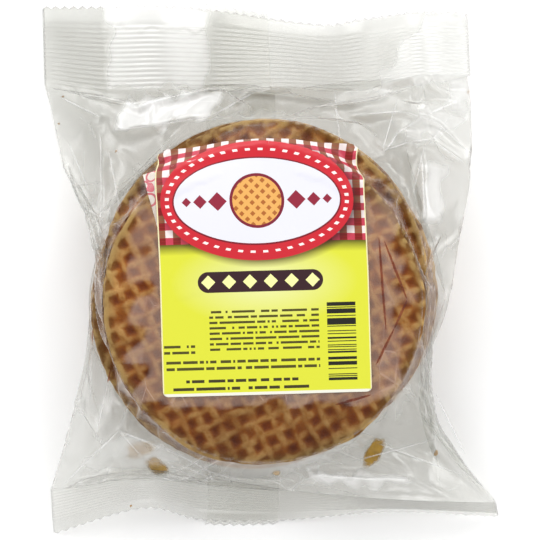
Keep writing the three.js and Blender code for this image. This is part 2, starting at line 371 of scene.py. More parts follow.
def sachet_place(x, y):
    """Where a point of the pack lies in the sachet's own square, each from -1 to 1."""
    u, v = on_turned(x - SACHET_MIDDLE[0], y - SACHET_MIDDLE[1], SACHET_TURN)
    return u * 2 / SACHET, v * 2 / SACHET


def sachet_swell(u, v):
    """The powder's height: SACHET_FILL in the middle, falling to nothing at the flat seal by a
    product of one cosine across and one along."""
    inner = 1 - 2 * SACHET_SEAL / SACHET
    fall = [np.cos(np.clip(np.abs(w) / inner, 0, 1) * np.pi / 2) ** 0.6 for w in (u, v)]
    return SACHET_FILL * fall[0] * fall[1]


def sachet_floor(x, y):
    """The sachet's underside: flat on the top waffle, and p past its rim it has bent down by
    p^2 / (p + 2), which comes near to a slope of 45 degrees."""
    x0, y0, radius, _ = STACK[-1]
    past = np.maximum(np.hypot(x - x0, y - y0) - radius + 1, 0)
    return STACK_TOP - past * past / (past + 2)


def sachet_paper():
    """Bleached kraft paper with a thin coating, printed with rings in pale red: white, matt and
    faintly fibrous."""
    material, add = new_material("white_sachet_paper")
    place = add("TexCoord", out=3)
    cells = add("TexVoronoi", place, named={"Scale": 170.0}, out=0)
    ring = add("Math.COMPARE", cells, 0.4, 0.07)
    fibre = add("TexNoise", place, named={"Scale": 1500, "Detail": 2})
    white = add("Mix.RGBA", fibre, "#E4DAD2", "#F1EAE4")
    colour = add("Mix.RGBA", ring, white, "#D8707E")
    bump = add("Bump", named={"Height": fibre, "Strength": 0.3, "Distance": 0.0002})
    shader = add("BsdfPrincipled", named={"Base Color": colour, "Roughness": 0.7, "Normal": bump})
    add("OutputMaterial", shader)
    return material


def two_sided(top, bottom):
    """A closed sheet from two like grids: top's cells, bottom's the other way round, and a wall
    from edge to edge."""
    rows, columns, _ = top.shape
    upper = np.arange(rows * columns).reshape(rows, columns)
    lower = upper + rows * columns
    cell = [upper[:-1, :-1], upper[:-1, 1:], upper[1:, 1:], upper[1:, :-1]]
    cells = np.stack(cell, -1).reshape(-1, 4)
    round_edge = np.concatenate([upper[0, :-1], upper[:-1, -1], upper[-1, :0:-1], upper[:0:-1, 0]])
    after = np.roll(round_edge, -1)
    shift = rows * columns
    wall = np.stack([after, round_edge, round_edge + shift, after + shift], -1)
    points = np.concatenate([top.reshape(-1, 3), bottom.reshape(-1, 3)])
    return points, [cells, (cells + shift)[:, ::-1], wall]


def sachet():
    """The sachet over a square grid: its floor follows sachet_floor, and its top lies PAPER plus
    the powder's height above that."""
    side = np.linspace(-1, 1, 61)
    u, v = np.meshgrid(side, side)
    right, up = on_turned(u, v, -SACHET_TURN)
    x = SACHET_MIDDLE[0] + SACHET / 2 * right
    y = SACHET_MIDDLE[1] + SACHET / 2 * up
    floor = sachet_floor(x, y) + SACHET_LIFT
    bottom = np.stack([x, y, floor], -1)
    top = np.stack([x, y, floor + PAPER + sachet_swell(u, v)], -1)
    return two_sided(top, bottom)


new_piece("absorber_sachet", sachet(), sachet_paper())


# ---- Film tube ---------------------------------------------------------------------------------
# The bag: one tube of clear oriented polypropylene film, 0.04 mm thick, formed round the stack,
# and crimped flat at both ends between heated ribbed jaws that also cut it with a saw tooth. It
# is stiff for its thickness, so the slack in it stands up in flat facets and sharp creases.

LAY_FLAT = 180.0                 # the tube's width when flat
TUBE_LENGTH = 185.0              # between the two seals
START_COLUMNS, START_ROWS = 72, 38
COLUMNS = 4 * START_COLUMNS      # round the tube, after it has been made finer twice
# Each stage of the forming: its passes, how far in mm a pass the packing draws the film in, how
# hard the bag's outline and the folds pull at it, and how stiff it is.
STAGES = [(360, 0.004, 0.15, 0.3, 0.3), (420, 0.002, 0.15 / 3, 0.3, 0.2),
          (240, 0.001, 0.03, 0.2, 0.05)]
FACETS = [(110, 0.12, 4), (420, 0.1, 5)]     # how many, how high, and their seed
WAIST = 0.19                     # share by which the loose tube is drawn in half way along
DOME = 47.0                      # its height over the stack
EDGE_HEIGHT = 20.0               # and at its two sides
DENT = 0.6
MOMENTUM = 0.9                   # share of the last move that is carried on, up to MOST_CARRIED
MOST_CARRIED = 0.5
SLANT_HOLD = 0.8                 # how firmly links across a cell hold their length
WEIGHT = 0.004                   # mm a pass that the film sinks
LABEL_PRESS = 0.02               # and that the label is pressed down
RIM_PRESS = 0.08                 # and its top, past the waffle's rim
LABEL_STIFFNESS = 0.9
FLAT_SHARE = 0.5                 # of the label's height lies flat, the rest bends over the rim
RIM_REACH = 2.0
CARD = 0.5                       # share of the way back to flat that its flat part goes
BEND_REACH = 12.5                # links this long keep the paper from a sharp bend
BEND_STIFFNESS = 0.8
LABEL_CORNERS = [                # round and along the tube, and where the packing pressed them
    (52.2, 146.9, (-42.4, 40.6, 30.0)),
    (127.2, 146.9, (29.5, 40.5, 27.0)),
    (127.2, 128.5, (32.6, 28.8, 38.5)),
]
CORNER_PULL = 0.3
SIDE_WALL = 0.4                  # share of the way back for film that bulges past the outline
CLEAR = 0.15                     # kept between the film and what it holds
TABLE_CLEAR = 0.12
LAYER_GAP = 0.25                 # least height between front and back film
LAYERS_NEAR = 12.0               # where their like points lie this near, seen from above
SACHET_BELOW = 6.0               # film farther than this under the sachet's top is its back

# The lines where the pouch meets each seal and where each seal is cut, through a few points.
TOP_LINE = [(-88.8, 73.9, 9), (-64, 70.2, 16), (-44, 70.3, 19), (-20, 70.6, 13),
            (4, 71.5, 18), (35, 70.8, 16), (57, 75.2, 28), (77.7, 76, 18)]
TOP_CUT = [(-90, 104, 3), (-66, 103.6, 9), (-44, 103.8, 12), (-20, 102.6, 2), (19, 97.2, 3),
           (36, 99.4, 2), (57, 101.4, 12), (77.6, 101.8, 1)]
BOTTOM_LINE = [(-86.3, -86, 10), (-52, -80, 23), (-23, -82.5, 14), (15, -86.5, 16),
               (52, -89.3, 22), (88, -90.8, 13)]
BOTTOM_CUT = [(-85.6, -104.3, 2), (-50, -93.4, 13), (-27, -98.8, 1.5), (4, -99, 1.2),
              (48, -95, 7), (90, -97.4, 0.8)]
# The bag's outline at its two sides, as x by y.
LEFT_SIDE = [(-86, -86.3), (-55.6, -77.2), (-34.9, -71.8), (-13, -69.6), (3.3, -67.5),
             (21.6, -71.8), (38.4, -80.3), (57.1, -85.8), (73.9, -88.8)]
RIGHT_SIDE = [(-90.8, 88), (-75.9, 76), (-58.7, 65), (-44.7, 62.6), (-29, 62.6), (-16.6, 67.9),
              (0.2, 72.2), (15.4, 74.5), (28.3, 76.8), (39.2, 79), (63.8, 78), (76, 77.7)]
# Folds that stand up in the front, as points along each crest: x, y and height.
CRESTS = [
    [(-80, -83, 18), (-70, -72.6, 26), (-58.4, -61.7, 34), (-35, -71.4, 30), (-24.3, -77.2, 24)],
    [(14.4, -78.8, 24), (36.5, -80.7, 25), (53, -80.3, 26)],
    [(-60, 54.4, 24), (-46, 55.9, 26), (-22.7, 59.8, 26), (-5.7, 69.9, 17)],
    [(-82, 67.5, 14), (-66.8, 59.8, 24)],
    [(-66, 52, 26), (-65.3, 32, 30), (-66, 11.8, 33)],
    [(-68.8, -23, 30), (-70, -50, 26)],
    [(70.5, 65, 24), (58.5, 59, 29), (49.2, 53.2, 31), (43.8, 45.5, 33)],
    [(38, 60.6, 26), (51.6, 61.3, 30), (63.8, 57.5, 28), (77.5, 45.5, 22)],
    [(44.6, 46.6, 33), (54.3, 49.7, 31), (62, 50.5, 30), (74.8, 42, 24)],
    [(58.5, 44.3, 28), (59.4, 19.5, 33)],
    [(41.4, 12.4, 41), (44.1, -23.2, 41.6)],
    [(43.4, 11.3, 41.3), (52.2, -11.3, 41.8), (47.2, -22.4, 41.6), (40.3, -36.2, 41)],
    [(24.6, -51.5, 41), (38.4, -47.7, 41.4)],
]
CREST_SLOPE = 0.9
CREST_STEP = 0.5
# Painted highlights: where the front film is made milky and glossier to stand for the light it
# catches: corners as x, y, and how much.
PAINTED_GLEAM_PATCHES = [
    ([(-63, 71.4), (-24.3, 72.2), (-24.3, 93), (-61.4, 94.6)], 0.4),
    ([(-61.4, 94.6), (-24.3, 94), (-24.3, 103), (-47, 105), (-66, 105)], 0.5),
    ([(38.8, 69.1), (77.9, 75.3), (76.7, 101), (62, 101)], 0.5),
    ([(-59.9, 54.4), (-46, 55.9), (-22.7, 59.8), (-21.2, 69.1), (-56, 66)], 1.0),
    ([(59.3, 19.5), (65.5, 19.5), (67, 41.2), (59.3, 41.2)], 0.8),
    ([(19, -82.6), (50, -82.6), (53.1, -80.3), (15.2, -79.1)], 1.0),
    ([(-79, -82), (-52, -77), (-24.3, -77.2), (-58.4, -61.7)], 0.35),
    ([(50, 49), (66, 52), (77, 58), (60, 66)], 0.3),
    ([(70, 63), (77, 63), (78, 75), (68, 72)], 0.6),
]
PAINTED_PATCH_EDGE = 1.8
EDGE_WAVER = 0.9
HAZY_ABOVE = (0.5, 16)           # mm above a waffle between which the film turns hazy
STEEP = (0.3, 0.7)               # the normal's rise, from where the film is steep to where not,
CRUMPLED = (0.2, 0.7)            # and from where it is smooth to where its facets show
# Painted shade: where the film's tint is made greyer, in the same way.
PAINTED_SHADE_PATCHES = [
    ([(-92, 71), (-64.3, 69.5), (-64.3, 106), (-92, 107)], 1.0),
    ([(-81.6, 50.5), (-66.9, 56.3), (-66.1, 69), (-87.8, 71.4)], 0.6),
    ([(-75.8, 26.1), (-66.1, 21.5), (-61.4, 40.8), (-66.9, 57.5), (-72.7, 58.2)], 0.7),
    ([(64.3, -13.4), (74, 14.9), (71.3, 25.3), (62.4, 21.5)], 0.7),
]
SMEARS = [                       # cream on the film: x, y, length, width, turn in degrees, and
    (39.8, -70.3, 13.5, 7.2, 60, 1.0),      # its thickness in the middle
    (-43.9, -76.0, 10.5, 7.0, -35, 0.8),
    (-50.5, -69.5, 15.0, 8.0, 15, 0.35),
    (2.3, -78.6, 3.6, 2.6, 0, 0.7),
]
SMEAR_EDGE = (0.7, 1.3)          # shares of a smear's size between which the film turns hazy again
LABEL_SIZE = (80.0, 98.0)
LABEL_MIDDLE = (89.2, 100.9)     # round and along the tube
LABEL_TURN = 0.2                 # and turned a little to the left


def smooth_line(points, share):
    """A Catmull-Rom curve through points, sampled at shares of its length."""
    p = np.array(points, float)
    ends = np.vstack([2 * p[0] - p[1], p, 2 * p[-1] - p[-2]])
    at = np.linspace(0, len(p) - 1, 600)
    k = np.minimum(at.astype(int), len(p) - 2)
    f = (at - k)[:, None]
    a, b, c, d = ends[k], ends[k + 1], ends[k + 2], ends[k + 3]
    curve = (2 * b + (c - a) * f + (2 * a - 5 * b + 4 * c - d) * f**2
             + (3 * b - a - 3 * c + d) * f**3) / 2
    run = np.append(0, np.cumsum(np.linalg.norm(np.diff(curve, axis=0), axis=1)))
    return np.stack([np.interp(share * run[-1], run, curve[:, i]) for i in range(3)], -1)


def across_share(columns):
    """How far across the flat tube each column lies: 0 to 1 over the front and back again."""
    share = np.arange(columns) * 2 / columns
    return np.minimum(share, 2 - share)


def loose_tube(columns, rows):
    """The tube as it leaves the former: each column runs from the bottom line to the top one,
    the sides drawn in by a sine, the front domed over the stack and the back flat on the table
    by (1 - |2q - 1|^5)^0.5, with small smoothed random dents where the creases will start."""
    share = across_share(columns)
    t = np.linspace(0, 1, rows + 1)[:, None]
    bottom, top = smooth_line(BOTTOM_LINE, share), smooth_line(TOP_LINE, share)
    film = bottom * (1 - t[..., None]) + top * t[..., None]
    film[..., 0] *= 1 - WAIST * np.sin(np.pi * t) ** 1.2
    swell = np.sqrt(1 - np.abs(2 * t - 1) ** 5)
    dome = np.sqrt(1 - np.abs(2 * share - 1) ** 5) * swell
    base = film[..., 2].copy()
    fold = EDGE_HEIGHT * swell + base * (1 - swell)
    front = np.maximum(base + (DOME - base) * dome, fold)
    back = base * (1 - dome) + CLEAR * dome
    is_front = np.arange(columns) <= columns // 2
    film[..., 2] = np.where(is_front, front, back)
    at_fold = (share == 0) | (share == 1)
    film[:, at_fold, 2] = fold[:, at_fold]
    dents = np.random.default_rng(3).normal(size=film.shape)
    for _ in range(6):
        beside = np.roll(dents, 1, 1) + np.roll(dents, -1, 1)
        beside += np.roll(dents, 1, 0) + np.roll(dents, -1, 0)
        dents = dents / 2 + beside / 8
    film += dents * DENT / dents.std() * np.sin(np.pi * t)[..., None] ** 0.5
    return film


def finer(film):
    """Twice the columns and rows: each new point lies between four in a line, weighted -1, 9,
    9, -1 out of 16."""
    rows, columns, _ = film.shape
    wide = np.empty((rows, 2 * columns, 3))
    wide[:, 0::2] = film
    outer = np.roll(film, 1, 1) + np.roll(film, -2, 1)
    wide[:, 1::2] = (9 * (film + np.roll(film, -1, 1)) - outer) / 16
    tall = np.empty((2 * rows - 1, 2 * columns, 3))
    tall[0::2] = wide
    longer = np.concatenate([[2 * wide[0] - wide[1]], wide, [2 * wide[-1] - wide[-2]]])
    tall[1::2] = (9 * (longer[1:-2] + longer[2:-1]) - longer[:-3] - longer[3:]) / 16
    return tall


def hold_length(film, free, down, along, rest, share):
    """Moves both ends of each link, from point (j, i) to (j + down, i + along), until it has its
    rest length, or a share of the way there. Every other link goes first, so that no point is
    in two at once. Ends in the seals, where free is 0, stay."""
    step = down or along
    index = np.arange(len(film) - down) if down else np.arange(film.shape[1])
    for turn in (0, 1):
        near = index[index // step % 2 == turn]
        far = near + down if down else (near + along) % film.shape[1]
        if down:
            a, b = film[near], np.roll(film[far], -along, 1)
            free_a, free_b, part = free[near], free[far], share[near]
        else:
            a, b = film[:, near], film[:, far]
            free_a, free_b, part = free, free, share[:, near]
        gap = b - a
        length = np.sqrt((gap * gap).sum(-1)) + 1e-9
        gap *= (part * (1 - rest / length) / np.maximum(free_a + free_b, 1))[..., None]
        if down:
            film[near] += gap * free_a[..., None]
            film[far] -= np.roll(gap * free_b[..., None], along, 1)
        else:
            film[:, near] += gap * free_a[..., None]
            film[:, far] -= gap * free_b[..., None]


def keep_out(film):
    """Lifts the film off what it holds: a point inside a waffle leaves it by the shortest of
    out, up and down, where up and down count only past the rim of the next waffle. The front
    stays above the sachet and above the back, and nothing goes below the table."""
    x, y, z = film[..., 0], film[..., 1], film[..., 2]
    far = [np.hypot(x - x0, y - y0) for x0, y0, _, _ in STACK]
    for number, (x0, y0, radius, _) in enumerate(STACK):
        low = STACK_FOOT + WAFFLE_HEIGHT * number
        high = low + WAFFLE_HEIGHT
        out = radius + CLEAR - far[number]
        up, down = high + CLEAR - z, z - low + CLEAR
        inside = (out > 0) & (up > 0) & (down > 0)
        if number < len(STACK) - 1:
            up = np.where(far[number + 1] > STACK[number + 1][2], up, 1e6)
        if number:
            down = np.where(far[number - 1] > STACK[number - 1][2], down, 1e6)
        least = np.minimum(np.minimum(out, up), down)
        pushed = np.where(inside & (least == out), out / np.maximum(far[number], 1e-6), 0)
        x += (x - x0) * pushed
        y += (y - y0) * pushed
        z += np.where(inside & (least == up) & (pushed == 0), up, 0)
        z -= np.where(inside & (least == down) & (least < up) & (pushed == 0), down, 0)
    np.maximum(z, TABLE_CLEAR, out=z)
    front = np.arange(1, film.shape[1] // 2)
    back = -front % film.shape[1]
    u, v = sachet_place(x[:, front], y[:, front])
    lid = sachet_floor(x[:, front], y[:, front]) + PAPER + sachet_swell(u, v) + CLEAR
    over = (np.abs(u) < 1) & (np.abs(v) < 1) & (z[:, front] > lid - SACHET_BELOW)
    z[:, front] = np.where(over, np.maximum(z[:, front], lid), z[:, front])
    gap = z[:, front] - z[:, back]
    apart = np.hypot(x[:, front] - x[:, back], y[:, front] - y[:, back])
    lift = np.where((gap < LAYER_GAP) & (apart < LAYERS_NEAR), (LAYER_GAP - gap) / 2, 0)
    z[:, front] += lift
    z[:, back] -= lift


def film_normals(film):
    """The tube's outward direction at each point: the cross product of the ways along a row and
    from row to row, made one long."""
    along = np.roll(film, -1, 1) - np.roll(film, 1, 1)
    up = np.gradient(film, axis=0)
    normal = np.cross(along, up)
    return normal / (np.linalg.norm(normal, axis=-1, keepdims=True) + 1e-9)


def flat_grid(rows, columns):
    """Each grid point's place round and along the tube."""
    return np.meshgrid(np.arange(columns) * 2 * LAY_FLAT / columns,
                       np.arange(rows) * TUBE_LENGTH / (rows - 1))


def label_cover(rows, columns, height_share):
    """1 where the label stiffens the tube, from its foot up to height_share of its height, and 0
    elsewhere."""
    s, t = flat_grid(rows, columns)
    foot = LABEL_MIDDLE[1] - LABEL_SIZE[1] / 2
    beside = np.abs(s - LABEL_MIDDLE[0]) < LABEL_SIZE[0] / 2
    return (beside & (t > foot) & (t < foot + LABEL_SIZE[1] * height_share)).astype(float)


def crest_heights():
    """The height that folds hold the front up to, over the table in steps of CREST_STEP: at each
    crest's line its own height, and beside it a slope down on both sides."""
    run = np.arange(-110, 110, CREST_STEP)
    x, y = np.meshgrid(run, run)
    height = np.zeros_like(x)
    for crest in CRESTS:
        for a, b in zip(np.array(crest, float)[:-1], np.array(crest, float)[1:]):
            way = b - a
            share = ((x - a[0]) * way[0] + (y - a[1]) * way[1]) / (way[0]**2 + way[1]**2)
            share = np.clip(share, 0, 1)
            off = np.hypot(x - a[0] - share * way[0], y - a[1] - share * way[1])
            height = np.maximum(height, a[2] + share * way[2] - CREST_SLOPE * off)
    return height


def stiffen_card(film, card, flat_at):
    """Moves the label's flat part CARD of the way to a flat card, which is turned to fit best: the
    turn is the product of the two orthogonal factors of the crossed places."""
    here = film[card]
    middle = here.mean(axis=0)
    left, _, right = np.linalg.svd(flat_at.T @ (here - middle))
    film[card] += CARD * (flat_at @ (left @ right) + middle - here)


def creased(film, cells, size, seed):
    """The film with small flat facets pressed into it: over the flat tube lie cells round random
    points, and each stands up as a low pyramid, in proportion to how much nearer its own point
    is than the next one."""
    rows, columns, _ = film.shape
    s, t = flat_grid(rows, columns)
    spots = np.random.default_rng(seed).uniform(0, (2 * LAY_FLAT, TUBE_LENGTH), (cells, 2))
    round_way = np.abs(s[..., None] - spots[:, 0])
    round_way = np.minimum(round_way, 2 * LAY_FLAT - round_way)
    far = np.partition(np.hypot(round_way, t[..., None] - spots[:, 1]), 1, axis=-1)
    height = size * (far[..., 1] - far[..., 0]) * (1 - label_cover(rows, columns, 1))
    height[[0, -1]] = 0
    return film + film_normals(film) * height[..., None]


def form(film, passes, suction, side_pull, crest_pull, stiffness):
    """Lets the film settle. Each pass carries on a little of the last move, draws the film in
    along its normal, gives every link its length again (neighbours fully, and next but one by
    the film's stiffness, which is what makes flat facets) and keeps it out of the stack. Folds
    hold the front up by crest_pull of the way. Early on, the two sides are also drawn to the
    bag's outline."""
    rows, columns = len(film) - 1, film.shape[1]
    wide, tall = 2 * LAY_FLAT / columns, TUBE_LENGTH / rows
    slant = np.hypot(wide, tall)
    share = across_share(columns)
    ends = smooth_line(BOTTOM_LINE, share), smooth_line(TOP_LINE, share)
    free = np.ones((rows + 1, 1))
    free[[0, -1]] = 0
    full = np.ones((rows + 1, columns))
    covered = label_cover(rows + 1, columns, 1)
    card = label_cover(rows + 1, columns, FLAT_SHARE) > 0
    row, column = np.nonzero(card)
    flat_at = np.stack([column * wide, row * tall, 0 * row], -1).astype(float)
    flat_at -= flat_at.mean(axis=0)
    stiff = stiffness + (LABEL_STIFFNESS - stiffness) * covered
    reach = int(BEND_REACH / wide + 0.5)
    near = [(1, 0, tall, full), (0, 1, wide, full)]
    slanted = [(1, way, slant, SLANT_HOLD * full) for way in (1, -1)]
    next_but_one = [(2, 0, 2 * tall, stiff), (0, 2, 2 * wide, stiff)]
    bends = BEND_STIFFNESS * covered
    far = [(reach, 0, reach * tall, bends), (0, reach, reach * wide, bends)]
    front = slice(1, columns // 2)
    x0, y0, radius, _ = STACK[-1]
    sides = (0, LEFT_SIDE, -1), (columns // 2, RIGHT_SIDE, 1)
    before = film.copy()
    for _ in range(passes):
        carried = np.clip(MOMENTUM * (film - before), -MOST_CARRIED, MOST_CARRIED)
        carried *= free[..., None]
        before = film.copy()
        film += carried - suction * film_normals(film) * free[..., None]
        past_rim = np.hypot(film[..., 0] - x0, film[..., 1] - y0) > radius - RIM_REACH
        press = np.where(past_rim, RIM_PRESS, LABEL_PRESS)
        film[..., 2] -= (WEIGHT + press * covered) * free
        for s, t, place in LABEL_CORNERS:
            i, j = int(s / wide), int(t / tall)
            here = film[j - 1:j + 2, i - 1:i + 2]
            here += CORNER_PULL * (place - here.mean(axis=(0, 1)))
        u, v = ((film[1:-1, front, :2] + 110) / CREST_STEP).astype(int).clip(0, len(FOLDS) - 1).T
        lack = np.maximum(FOLDS[v.T, u.T] - film[1:-1, front, 2], 0)
        film[1:-1, front, 2] += crest_pull * lack
        for column, side, outwards in sides:
            y, x = np.array(side).T
            aim = np.interp(film[1:-1, column, 1], y, x)
            film[1:-1, column, 0] += side_pull * (aim - film[1:-1, column, 0])
            past = np.maximum((film[1:-1, :, 0] - np.interp(film[1:-1, :, 1], y, x)) * outwards, 0)
            film[1:-1, :, 0] -= SIDE_WALL * past * outwards
        for link in near + slanted + next_but_one + far:
            hold_length(film, free, *link)
        stiffen_card(film, card, flat_at)
        for link in near:
            hold_length(film, free, *link)
        keep_out(film)
        film[0], film[-1] = ends
    return film


FOLDS = crest_heights()
pouch = form(loose_tube(START_COLUMNS, START_ROWS), *STAGES[0])
pouch = form(creased(finer(pouch), *FACETS[0]), *STAGES[1])
pouch = finer(pouch)
pouch = form(creased(pouch, *FACETS[1]), *STAGES[2])

TOP_SEAL = {"width": 35.0, "ribs": 14, "pitch": 1.95}
BOTTOM_SEAL = {"width": 23.0, "ribs": 11, "pitch": 1.5}
RIB_HEIGHT = 0.26
RIB_STEPS = 4                    # rows to each rib
MARGIN_ROWS = 4
FILM_APART = 0.08                # half the gap drawn between two crimped layers
TOOTH_DEPTH = 1.1
# A tooth takes three columns: how far each is shifted back, and how far it stands out.
TOOTH = ((0.0, 0.0), (0.31, 0.5), (0.62, 1.0))


def seal_rows(line, cut, outwards, width, ribs, pitch):
    """A seal's rows from the pouch out: straight from line to cut, with ribs as a sine across
    the strip's own normal, then a plain margin, and the last row cut in teeth. The front
    columns lie above the back ones by twice FILM_APART."""
    share = across_share(COLUMNS)
    start, end = smooth_line(line, share), smooth_line(cut, share)
    ribbed = np.arange(1, ribs * RIB_STEPS + 1) * pitch / RIB_STEPS
    plain = np.linspace(ribbed[-1], width, MARGIN_ROWS + 1)[1:]
    run = np.concatenate([ribbed, plain])
    strip = start + (end - start) * (run / width)[:, None, None]
    middle = (start + end) / 2
    half = COLUMNS // 2
    along = np.gradient(middle[:half + 1], axis=0)
    along = np.concatenate([along, along[-2:0:-1]])
    normal = np.cross(along, (end - start) * outwards)
    normal /= np.linalg.norm(normal, axis=-1, keepdims=True)
    wave = np.where(run <= ribbed[-1], np.sin(2 * np.pi * run / pitch), 0) * RIB_HEIGHT
    side = np.zeros(COLUMNS)
    side[1:half], side[half + 1:] = 1, -1
    strip += normal * (wave[:, None, None] + FILM_APART * side[:, None])
    column = np.arange(COLUMNS)
    teeth = np.array(TOOTH)[np.minimum(column, -column % COLUMNS) % len(TOOTH)]
    back_off = along / np.linalg.norm(along, axis=-1, keepdims=True) * teeth[:, :1]
    out = (end - start) / np.linalg.norm(end - start, axis=-1, keepdims=True)
    strip[-1] += out * TOOTH_DEPTH * (teeth[:, 1:] - 1) - back_off
    return strip


def closed_tube(film):
    """The tube's cells, and a row of cells across each cut end that joins its front to its
    back."""
    rows, columns, _ = film.shape
    front = np.arange(1, columns // 2 - 1)
    after = front + 1
    bar = np.stack([front, after, columns - after, columns - front], -1)
    half = columns // 2
    tips = np.array([[0, 1, columns - 1], [half - 1, half, half + 1]])
    last = (rows - 1) * columns
    faces = [ring_faces(rows, columns), bar[:, ::-1], bar + last, tips[:, ::-1], tips + last]
    return film.reshape(-1, 3), faces


def stack_height(x, y):
    """The height of the uppermost waffle over each point of the table, and 0 beside them."""
    height = np.zeros_like(x)
    for number, (x0, y0, radius, _) in enumerate(STACK):
        over = np.hypot(x - x0, y - y0) < radius
        height = np.where(over, STACK_FOOT + WAFFLE_HEIGHT * (number + 1), height)
    return height


HAZE_BESIDE = (1.7, 2.3)         # how much broader the label's haze is at its left and right
HAZE_BELOW = 1.4                 # and how much narrower at its foot
HAZE_EDGE = (3.5, 6.5)
HAZE_WAVER = 1.4
HAZE_STRENGTH = 1.6


def label_haze(film):
    """How hazy the film is over the waffles: round the stiff label it stands off them, so a band
    beside the label is hazy, broader at its sides than at its foot, with an uneven edge."""
    rows, columns, _ = film.shape
    s, t = flat_grid(rows, columns)
    beside = np.maximum(np.abs(s - LABEL_MIDDLE[0]) - LABEL_SIZE[0] / 2, 0)
    beside /= np.where(s > LABEL_MIDDLE[0], HAZE_BESIDE[1], HAZE_BESIDE[0])
    below = np.maximum(LABEL_MIDDLE[1] - t - LABEL_SIZE[1] / 2, 0) * HAZE_BELOW
    lower = 1 - smooth(t - LABEL_MIDDLE[1], 18, 30)
    off = np.hypot(beside, below) + HAZE_WAVER * patches(s, t, 14, 21)
    return HAZE_STRENGTH * lower * (1 - smooth(off, *HAZE_EDGE))


def inside_shape(x, y, corners, soft):
    """1 well inside a convex outline, given by its corners in turn to the left, and 0 outside:
    the least distance to its sides, smoothed over soft on either side of them."""
    least = np.full_like(x, 1e6)
    for (x0, y0), (x1, y1) in zip(corners, corners[1:] + corners[:1]):
        side = (x1 - x0) * (y - y0) - (y1 - y0) * (x - x0)
        least = np.minimum(least, side / np.hypot(x1 - x0, y1 - y0))
    return smooth(least, -soft, soft)


FILM_VALUES = ("veil", "painted_gleam", "painted_shade", "crumpled", "above_waffles")


def clear_film(name, layer):
    """Oriented polypropylene film, cast and stretched: clear and glossy, so that it shows by its
    reflections, most of all at a glance. Creases cut it into flat facets, each of which leans
    its own way. Off the waffles it looks hazy. Listed patches carry a painted highlight, made
    milky and glossier, and others painted shade, a greyer tint. Where it clings to their fat it
    all but vanishes, and the fat gives its haze a warm tinge. layer is the light that comes
    through."""
    material, add = new_material(name)
    place = add("TexCoord", out=3)
    veil, painted_gleam, painted_shade, crumpled, above_waffles = [
        add("Attribute", attribute_name=value, out=2) for value in FILM_VALUES]
    facing = add("NewGeometry", out=1)
    lines = 0.0
    for turn, scale, lean in ((0.5, 45.0, 0.34), (-0.7, 110.0, 0.26)):
        spot = add("Mapping", place, named={"Rotation": (0, 0, turn), "Scale": (1, 0.45, 1)})
        facet = add("TexVoronoi", spot, named={"Scale": scale}, out=1)
        leaning = add("Math.MULTIPLY", crumpled, lean)
        tilt = add("VectorMath.SUBTRACT", facet, (0.5, 0.5, 0.5))
        tilt = add("VectorMath.SCALE", tilt, leaning)
        facing = add("VectorMath.ADD", facing, tilt)
        # painted highlight: thin white lines along the facets' edges stand for light caught by the
        # creases
        edge = add("TexVoronoi", spot, named={"Scale": scale}, feature="DISTANCE_TO_EDGE")
        crease = add("MapRange", edge, 0.0, 0.03, 1.0, 0.0)
        lines = add("Math.MAXIMUM", lines, crease)
    facing = add("VectorMath.NORMALIZE", facing)
    # painted shade: in listed patches the light through the film is tinted greyer
    tint = add("Mix.RGBA", painted_shade, layer, "#DADAD6")
    through = add("BsdfTransparent", tint)
    gloss = add("BsdfPrincipled", named={
        "Base Color": "#FFFFFF", "Metallic": 1.0, "Roughness": 0.33, "Normal": facing})
    glance = add("LayerWeight", named={"Blend": 0.5, "Normal": facing}, out=1)
    steep = add("Math.POWER", glance, 4.0)
    shine = add("MapRange", veil, 0.0, 1.0, 0.006, 0.09)
    shine = add("Math.MULTIPLY_ADD", steep, 0.8, shine)
    # painted highlight: listed patches get more gloss here, and more white diffuse in the haze
    # below
    shine = add("Math.MULTIPLY_ADD", painted_gleam, 0.12, shine)
    film = add("MixShader", shine, through, gloss)
    tone = add("Mix.RGBA", above_waffles, "#F6F6F6", "#E8C6B2")
    diffuse_white = add("BsdfDiffuse", tone)
    haze = add("Math.MULTIPLY", veil, 0.085)
    haze = add("Math.MULTIPLY_ADD", painted_gleam, 0.32, haze)
    faint = add("TexNoise", place, named={"Scale": 38, "Detail": 1})
    faint = add("MapRange", faint, 0.48, 0.65, 0.0, 0.09)
    lines = add("Math.MULTIPLY", lines, crumpled)
    lines = add("Math.MULTIPLY", lines, veil)
    # painted highlight: the crease lines add faint, uneven white diffuse
    haze = add("Math.MULTIPLY_ADD", lines, faint, haze)
    film = add("MixShader", haze, film, diffuse_white)
    add("OutputMaterial", film)
    return material


bottom_rows = seal_rows(BOTTOM_LINE, BOTTOM_CUT, -1, **BOTTOM_SEAL)[::-1]
top_rows = seal_rows(TOP_LINE, TOP_CUT, 1, **TOP_SEAL)
half = COLUMNS // 2
for edge in (0, -1):
    pouch[edge, 1:half, 2] += FILM_APART
    pouch[edge, half + 1:, 2] -= FILM_APART
tube = np.concatenate([bottom_rows, pouch, top_rows])
tube[..., 2] = np.maximum(tube[..., 2], TABLE_CLEAR)
under = stack_height(tube[..., 0], tube[..., 1])
above = tube[..., 2] - under
inner = slice(len(bottom_rows), len(bottom_rows) + len(pouch))
steep = 1 - smooth(film_normals(tube)[..., 2], *STEEP)
veil = np.where(under > 0, smooth(above, *HAZY_ABOVE), 1)
veil[inner] = np.maximum(veil, steep)[inner]
veil[inner] = np.maximum(veil[inner], label_haze(pouch))
for x0, y0, length, width, turn, thickness in SMEARS:
    along, across = on_turned(tube[..., 0] - x0, tube[..., 1] - y0, turn)
    out = np.hypot(along * 2 / length, across * 2 / width)
    veil *= 1 - thickness * (1 - smooth(out, *SMEAR_EDGE))
veil[:, half:] = 0
above_waffles = (under > 0).astype(float)
